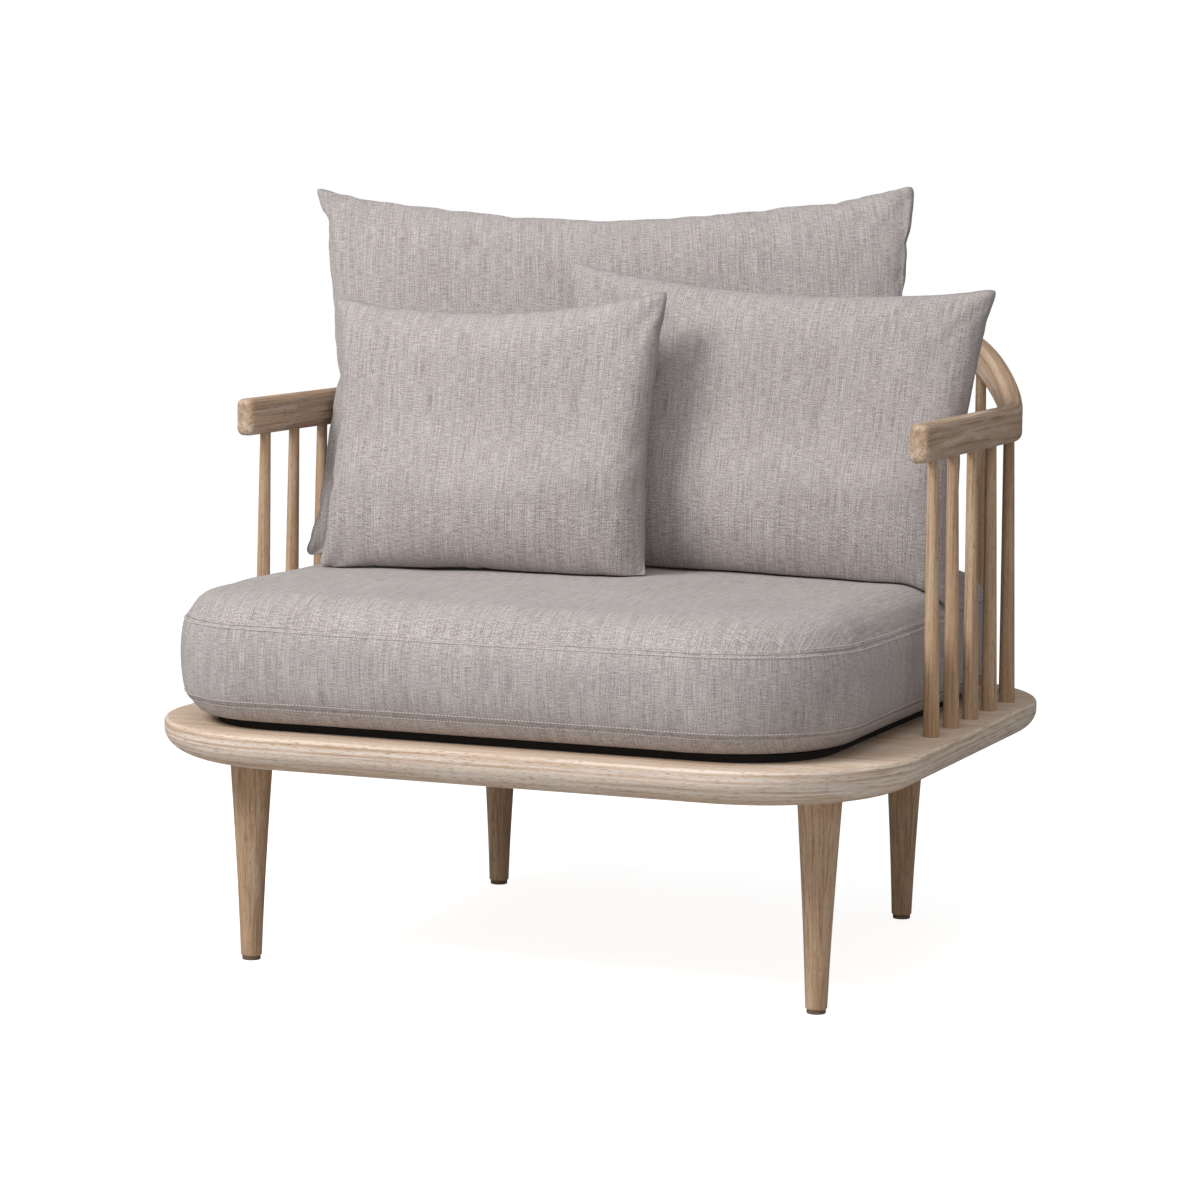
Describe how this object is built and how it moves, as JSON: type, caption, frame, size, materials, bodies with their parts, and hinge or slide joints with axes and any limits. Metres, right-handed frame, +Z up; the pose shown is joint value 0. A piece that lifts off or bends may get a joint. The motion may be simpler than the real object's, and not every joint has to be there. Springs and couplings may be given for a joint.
{
  "type": "lounge armchair",
  "caption": "Low wooden lounge armchair: rounded deck on turned legs, a spindle fence under one bent arm and back rail, loose seat cushion and throw cushions.",
  "frame": {"origin": "on the floor, under the middle of the deck", "axes": "+X to the right of a person facing the chair, +Y to the back, +Z up"},
  "size_m": [0.87, 0.8, 0.8549],
  "materials": {
    "oiled_oak": "satin",
    "oak_deck": "satin",
    "oak_rail": "satin",
    "beech_dowel": "matte",
    "black_felt": "matte",
    "nylon_glide": "matte",
    "zinc_steel": "satin",
    "brass_insert": "satin",
    "linen_weave": "matte",
    "zip_tape": "matte",
    "seat_foam": "matte",
    "feather_pad": "matte"
  },
  "bodies": {
    "frame": {"deck": "oak_deck", "leg_front_right": "oiled_oak", "leg_front_left": "oiled_oak", "leg_back_right": "oiled_oak", "leg_back_left": "oiled_oak", "glide_front_right": "nylon_glide", "glide_front_left": "nylon_glide", "glide_back_right": "nylon_glide", "glide_back_left": "nylon_glide", "leg_stud_front_right": "zinc_steel", "leg_stud_front_left": "zinc_steel", "leg_stud_back_right": "zinc_steel", "leg_stud_back_left": "zinc_steel", "deck_insert_front_right": "brass_insert", "deck_insert_front_left": "brass_insert", "deck_insert_back_right": "brass_insert", "deck_insert_back_left": "brass_insert", "spindle_right_01": "oiled_oak", "spindle_right_02": "oiled_oak", "spindle_right_03": "oiled_oak", "spindle_right_04": "oiled_oak", "spindle_right_05": "oiled_oak", "spindle_right_06": "oiled_oak", "spindle_right_07": "oiled_oak", "spindle_right_08": "oiled_oak", "spindle_right_09": "oiled_oak", "spindle_right_10": "oiled_oak", "spindle_right_11": "oiled_oak", "spindle_left_01": "oiled_oak", "spindle_left_02": "oiled_oak", "spindle_left_03": "oiled_oak", "spindle_left_04": "oiled_oak", "spindle_left_05": "oiled_oak", "spindle_left_06": "oiled_oak", "spindle_left_07": "oiled_oak", "spindle_left_08": "oiled_oak", "spindle_left_09": "oiled_oak", "spindle_left_10": "oiled_oak", "spindle_left_11": "oiled_oak", "arm_rail_right": "oak_rail", "arm_rail_left": "oak_rail", "back_rail": "oak_rail", "rail_dowels_right": "beech_dowel", "rail_dowels_left": "beech_dowel", "seat_underlay": "black_felt"},
    "seat_cushion": {"seat_cushion_cover": "linen_weave", "seat_cushion_zip": "zip_tape", "seat_cushion_filling": "seat_foam"},
    "back_cushion": {"back_cushion_cover": "linen_weave", "back_cushion_zip": "zip_tape", "back_cushion_filling": "feather_pad"},
    "right_pillow": {"right_pillow_cover": "linen_weave", "right_pillow_zip": "zip_tape", "right_pillow_filling": "feather_pad"},
    "small_pillow": {"small_pillow_cover": "linen_weave", "small_pillow_zip": "zip_tape", "small_pillow_filling": "feather_pad"}
  },
  "joints": [
    {"name": "seat_cushion_lift", "type": "slide", "parent": "frame", "child": "seat_cushion", "axis": [0, -0.9, 0.4359], "range_m": [0, 0.3]},
    {"name": "back_cushion_lift", "type": "slide", "parent": "seat_cushion", "child": "back_cushion", "axis": [0, -0.35, 0.9367], "range_m": [0, 0.3]},
    {"name": "right_pillow_lift", "type": "slide", "parent": "back_cushion", "child": "right_pillow", "axis": [0, -0.5, 0.866], "range_m": [0, 0.25]},
    {"name": "small_pillow_lift", "type": "slide", "parent": "right_pillow", "child": "small_pillow", "axis": [0, -0.6, 0.8], "range_m": [0, 0.2]}
  ]
}
